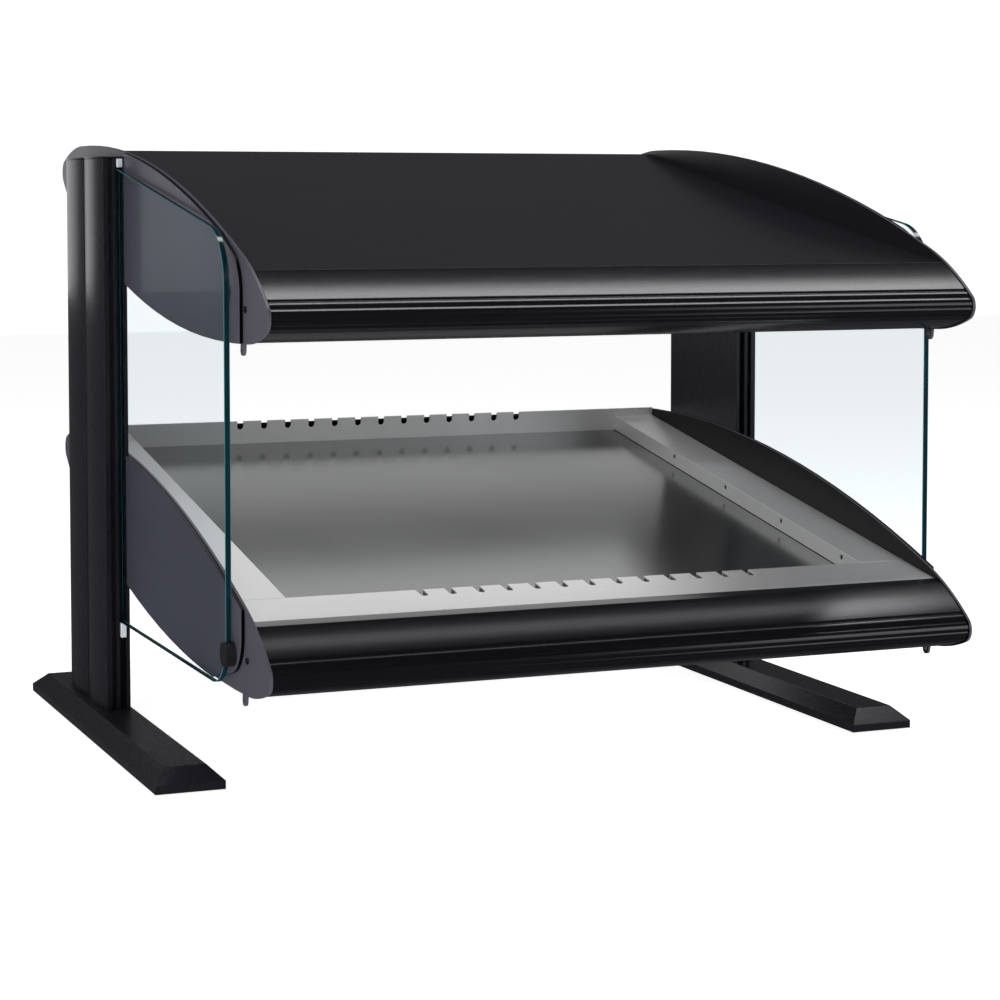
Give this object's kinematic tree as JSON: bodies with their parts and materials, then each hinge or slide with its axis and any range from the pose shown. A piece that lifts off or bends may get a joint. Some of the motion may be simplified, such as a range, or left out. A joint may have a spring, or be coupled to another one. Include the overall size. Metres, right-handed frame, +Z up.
{
  "type": "heated display case",
  "caption": "Slanted two-level hot food display: heated shelf under a heated canopy, fluted side uprights on long feet, glass ends.",
  "frame": {"origin": "on the counter surface under the middle of the case", "axes": "+Z up, +X towards the right end as the customer sees it, +Y towards the operator's side at the back"},
  "size_m": [0.724, 0.716, 0.5474],
  "materials": {
    "black_aluminium": "black anodised, fine lengthwise drawing lines",
    "charcoal_sheet": "fine-textured charcoal powder coat",
    "black_paint": "smooth black powder coat",
    "stainless": "brushed along its length",
    "hot_plate": "hard-coated, satin",
    "bright_aluminium": "bright mill finish",
    "zinc_steel": "zinc plated",
    "rubber": "matt",
    "nylon": "natural white",
    "black_plastic": "fine moulded texture",
    "red_plastic": "translucent red lens look",
    "ceramic": "glazed steatite",
    "quartz": "milky quartz tube",
    "lamp_glass": "frosted tube",
    "heater_foil": "silicone-bonded heater foil",
    "insulation": "fibre wool",
    "side_glass": "clear tempered glass, dark polished edge"
  },
  "bodies": {
    "case": {"left_foot": "black_aluminium", "left_foot_pad": "rubber", "left_middle_foot_bolt": "zinc_steel", "left_rear_foot_bolt": "zinc_steel", "left_upright": "black_aluminium", "left_upright_cap": "black_aluminium", "left_side_glass": "side_glass", "left_lower_glass_block": "nylon", "left_upper_glass_block": "nylon", "left_glass_spacer_disc": "rubber", "left_glass_stud": "black_plastic", "left_shelf_end_plate": "charcoal_sheet", "left_shelf_end_cover": "charcoal_sheet", "left_canopy_end_plate": "charcoal_sheet", "left_canopy_end_cover": "charcoal_sheet", "left_rim": "stainless", "right_foot": "black_aluminium", "right_foot_pad": "rubber", "right_middle_foot_bolt": "zinc_steel", "right_rear_foot_bolt": "zinc_steel", "right_upright": "black_aluminium", "right_upright_cap": "black_aluminium", "right_side_glass": "side_glass", "right_lower_glass_block": "nylon", "right_upper_glass_block": "nylon", "right_glass_spacer_disc": "rubber", "right_glass_stud": "black_plastic", "right_shelf_end_plate": "charcoal_sheet", "right_shelf_end_cover": "charcoal_sheet", "right_canopy_end_plate": "charcoal_sheet", "right_canopy_end_cover": "charcoal_sheet", "right_rim": "stainless", "shelf_front_trim": "black_aluminium", "shelf_rear_trim": "black_aluminium", "shelf_bottom_skin": "charcoal_sheet", "heated_plate": "hot_plate", "foil_heater": "heater_foil", "insulation_pad": "insulation", "rim_front": "stainless", "rim_rear": "stainless", "canopy_front_trim": "black_aluminium", "canopy_rear_trim": "black_aluminium", "canopy_bottom_skin": "charcoal_sheet", "canopy_top_panel": "black_paint", "canopy_reflector": "bright_aluminium", "front_heat_rod": "quartz", "rear_heat_rod": "quartz", "display_lamp": "lamp_glass", "shelf_thermostat": "ceramic", "canopy_heat_regulator": "ceramic", "power_switch_frame": "black_plastic", "light_switch_frame": "black_plastic", "cord_gland": "black_plastic"},
    "power_rocker": {"power_rocker": "red_plastic"},
    "light_rocker": {"light_rocker": "black_plastic"},
    "shelf_heat_knob": {"shelf_heat_knob": "black_plastic"},
    "canopy_heat_knob": {"canopy_heat_knob": "black_plastic"}
  },
  "joints": [
    {"name": "power_rocker_hinge", "type": "hinge", "parent": "case", "child": "power_rocker", "pos_m": [0.15, 0.33131, 0.23876], "axis": [1, 0, 0], "range_deg": [0, 14]},
    {"name": "light_rocker_hinge", "type": "hinge", "parent": "case", "child": "light_rocker", "pos_m": [0.15, 0.33131, 0.51876], "axis": [1, 0, 0], "range_deg": [0, 14]},
    {"name": "shelf_heat_turn", "type": "hinge", "parent": "case", "child": "shelf_heat_knob", "pos_m": [0.225, 0.33329, 0.2391], "axis": [0, -0.9857, -0.1685], "range_deg": [0, 270]},
    {"name": "canopy_heat_turn", "type": "hinge", "parent": "case", "child": "canopy_heat_knob", "pos_m": [0.225, 0.33329, 0.5191], "axis": [0, -0.9857, -0.1685], "range_deg": [0, 270]}
  ]
}
